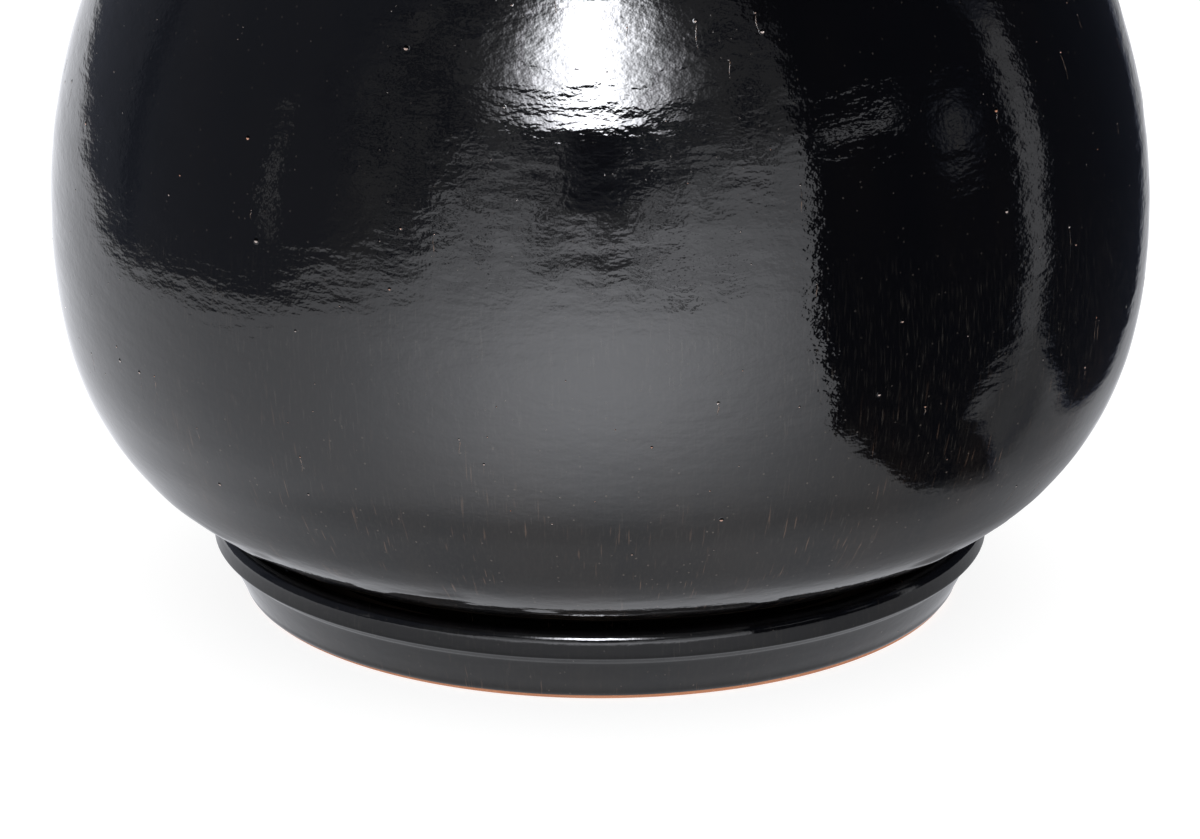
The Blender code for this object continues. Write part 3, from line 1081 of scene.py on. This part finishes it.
def studio_light(azimuth, height):
    """Brightness of the studio by direction, in degrees: azimuth 0 is the front, and to the right it is
    positive. Edges and widths are degrees too; the factors of each part are brightnesses."""
    # White floor all round, with a hot pool of light in front and less on the right.
    drop = (height + 19.0) / (24.0 + (1.0 - height.ramp(-20, -18)) * 4.0)
    lean = (azimuth - drop * 7.0).bell(-0.5, 37.0)
    pool = (drop * drop * -1.0).math("EXPONENT") * lean * 2.65
    right = azimuth.ramp(22, 94) * (1.0 - azimuth.ramp(160, 180))
    shade = height.band(-40, 4, -27, 4) * azimuth.band(108, 6, 142, 8)
    knee = height.band(-40, 6, -17, 3) * azimuth.band(93, 3, 113, 5)
    floor = 1.14 - right * 0.60 - shade * 0.16 - knee * 0.22 + pool
    left_edge = azimuth.ramp(-76, -52) * 8.0 + azimuth.ramp(-50, -20) * 24.0

    # Beyond the floor's far edge the room is dark. The edge sinks at the sides and is blurred in front.
    back_edge = (1.0 - azimuth.ramp(-160, -110)) * 13.0
    right_edge = azimuth.ramp(105, 155) * 25.0
    edge = left_edge + back_edge - right_edge - 14.5
    blur = azimuth.ramp(-62, -40) * 4.0 + 1.5
    room = 0.16 + azimuth.band(-52, 8, 44, 3) * 0.14 - azimuth.band(92, 2, 104, 2) * 0.08
    floor = floor * (height.ramp(-64, -44) * 0.22 + 0.78)
    light = floor.mix(room, height.ramp(edge - blur, edge + blur + 2.0))

    # The camera and its stand.
    notch = azimuth.bell(2, 9) * height.ramp(-2, 16)
    light = light * (1.0 - notch * 0.72)

    # Two black flags on the right, the shadow of one on the floor, and a grey strip between them.
    lower = azimuth.ramp(39.5, 55) * -19.0 + azimuth.ramp(44, 90) * -15.0 - 12.0
    lower = lower + azimuth.ramp(100, 146) * 7.0
    upper = azimuth.ramp(82, 122) * -10.5 - 30.0
    flag_right = height.ramp(-28, -20) * 8.0 + 88.0
    flag = azimuth.band(43.2, 0.8, flag_right, 2.0) * height.ramp(lower - 0.8, lower + 0.8)
    tail = azimuth.band(82, 2, 142, 10) * height.band(lower, 1.0, upper, 1.5)
    sag = (azimuth - 128.0) / 22.0
    second_foot = sag * sag * 8.0 - 28.5
    second = azimuth.band(102.5, 1.5, 156, 5) * height.ramp(second_foot - 1.5, second_foot + 1.5)
    light = light.mix(FLAG_BLACK, flag.math("MAXIMUM", tail).math("MAXIMUM", second))
    strip = azimuth.bell(99.3, 2.4) * height.band(-23, 4, 6, 4) * (1.0 - height.bell(-15, 1.6) * 0.7)

    # Small things in the room.
    streak = azimuth.bell(-70, 0.8) * height.band(-2, 4, 13, 3)
    blotch = azimuth.bell(-112, 3) * height.ramp(-13, -6)
    spot = azimuth.bell(80, 4) * height.band(6, 2, 14, 3)
    slit = azimuth.band(48, 2, 66, 3) * height.band(15.5, 0.7, 18.0, 0.7)
    return light + strip * 0.22 + streak * 0.55 - blotch * 0.06 + spot * 0.3 + slit * 1.0


def soft_boxes(azimuth, height):
    """A large soft box in front, over the camera, and two dim ones behind the pot."""
    main = azimuth.bell(-2, 11) * height.band(27, 1.2, 63, 2)
    sides = azimuth.math("ABSOLUTE").band(105, 6, 150, 6) * height.band(34, 4, 64, 4)
    return main * SOFT_BOX + sides * SIDE_BOX


def build_world():
    """White for the camera and for matt surfaces; the glaze mirrors a dark studio with a lit floor."""
    world = bpy.data.worlds.new("studio")
    bpy.context.scene.world = world
    world.use_nodes = True
    tree = world.node_tree
    tree.nodes.clear()
    direction = coordinates(tree, "Generated")
    x, y, z = parts(tree, direction)
    azimuth = x.math("ARCTAN2", y * -1.0) * math.degrees(1)
    height = z.math("ARCSINE") * math.degrees(1)
    clutter = noise(tree, stretched(tree, direction, (1, 1, 2.2)), 0.15, 4.0, 0.62) - 0.5
    jumble = noise(tree, stretched(tree, direction, (1.3, 1.3, 3.0)), 0.12, 4.0, 0.62) - 0.5
    clouds = noise(tree, stretched(tree, direction, (1, 1, 2.0)), 0.11, 4.0, 0.62)
    front = azimuth.band(-60, 12, 40, 3) * height.ramp(-16, 0)
    open_to = 0.67 - height.ramp(-14, 18) * 0.13 - azimuth.bell(2, 13) * height.ramp(-10, 8) * 0.17
    open_to = open_to - azimuth.band(-48, 6, -24, 6) * height.ramp(-16, 2) * 0.07
    cover = clouds.ramp(open_to, open_to + 0.05) * front
    level = studio_light(azimuth + clutter * front * 32.0, height + jumble * front * 20.0)
    level = level * (1.0 - cover * 0.75) + soft_boxes(azimuth, height)
    path = tree.nodes.new("ShaderNodeLightPath")
    mirrored = tree.nodes.new("ShaderNodeBackground")
    connect(tree, colour_mix(tree, DIM_TINT, MIRROR_TINT, level.ramp(0.02, 0.30)), mirrored.inputs["Color"])
    connect(tree, level, mirrored.inputs["Strength"])
    plain = tree.nodes.new("ShaderNodeBackground")
    plain.inputs["Color"].default_value = (1.0, 1.0, 1.0, 1.0)
    plain.inputs["Strength"].default_value = MATT_LIGHT
    chosen = tree.nodes.new("ShaderNodeMixShader")
    tree.links.new(path.outputs["Is Glossy Ray"], chosen.inputs["Fac"])
    tree.links.new(plain.outputs[0], chosen.inputs[1])
    tree.links.new(mirrored.outputs[0], chosen.inputs[2])
    output = tree.nodes.new("ShaderNodeOutputWorld")
    tree.links.new(chosen.outputs[0], output.inputs["Surface"])
    world.cycles.sampling_method = "NONE"
    bpy.context.scene.view_settings.view_transform = "Standard"


# ---- build ----------------------------------------------------------------------------------------

def place(piece, body, slot, node=None):
    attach(piece, body)
    if node:
        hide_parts(node)


def build():
    belt = pot_belt()
    rim = saucer_wall().length
    glaze = glaze_material("black_glaze_pot", belt - 0.05, belt, belt + 0.10, belt - 0.02, belt + 0.06)
    saucer_glaze = glaze_material("black_glaze_saucer", rim - 0.05, rim - 0.03, rim, rim - 0.06, rim - 0.04)
    pinholes = pinhole_material("black_glaze_pinholes")
    foot = pot_glaze_wall().length
    # The pot's clay takes the brightened copy: painted light for the shaded bowl.
    pot_clay = clay_material("fired_clay_pot", BOWL_CLAY_PAINTED_LIGHT, foot - 8 * MM, foot + 9 * MM)
    clay = clay_material("fired_clay_saucer", CLAY)
    place(build_pot_glaze(glaze), "pot", "black_glaze", "pot_glaze_coat")
    place(build_pot_pinholes(pinholes), "pot", "black_glaze")
    place(build_pot_clay(pot_clay), "pot", "fired_clay", "pot_clay_body")
    place(build_saucer_glaze(saucer_glaze), "saucer", "black_glaze", "saucer_glaze_coat")
    place(build_saucer_pinholes(pinholes), "saucer", "black_glaze")
    place(build_saucer_clay(clay), "saucer", "fired_clay", "saucer_clay_body")
    build_floor()
    build_mirror_floor()
    build_world()
    build_camera()


build()
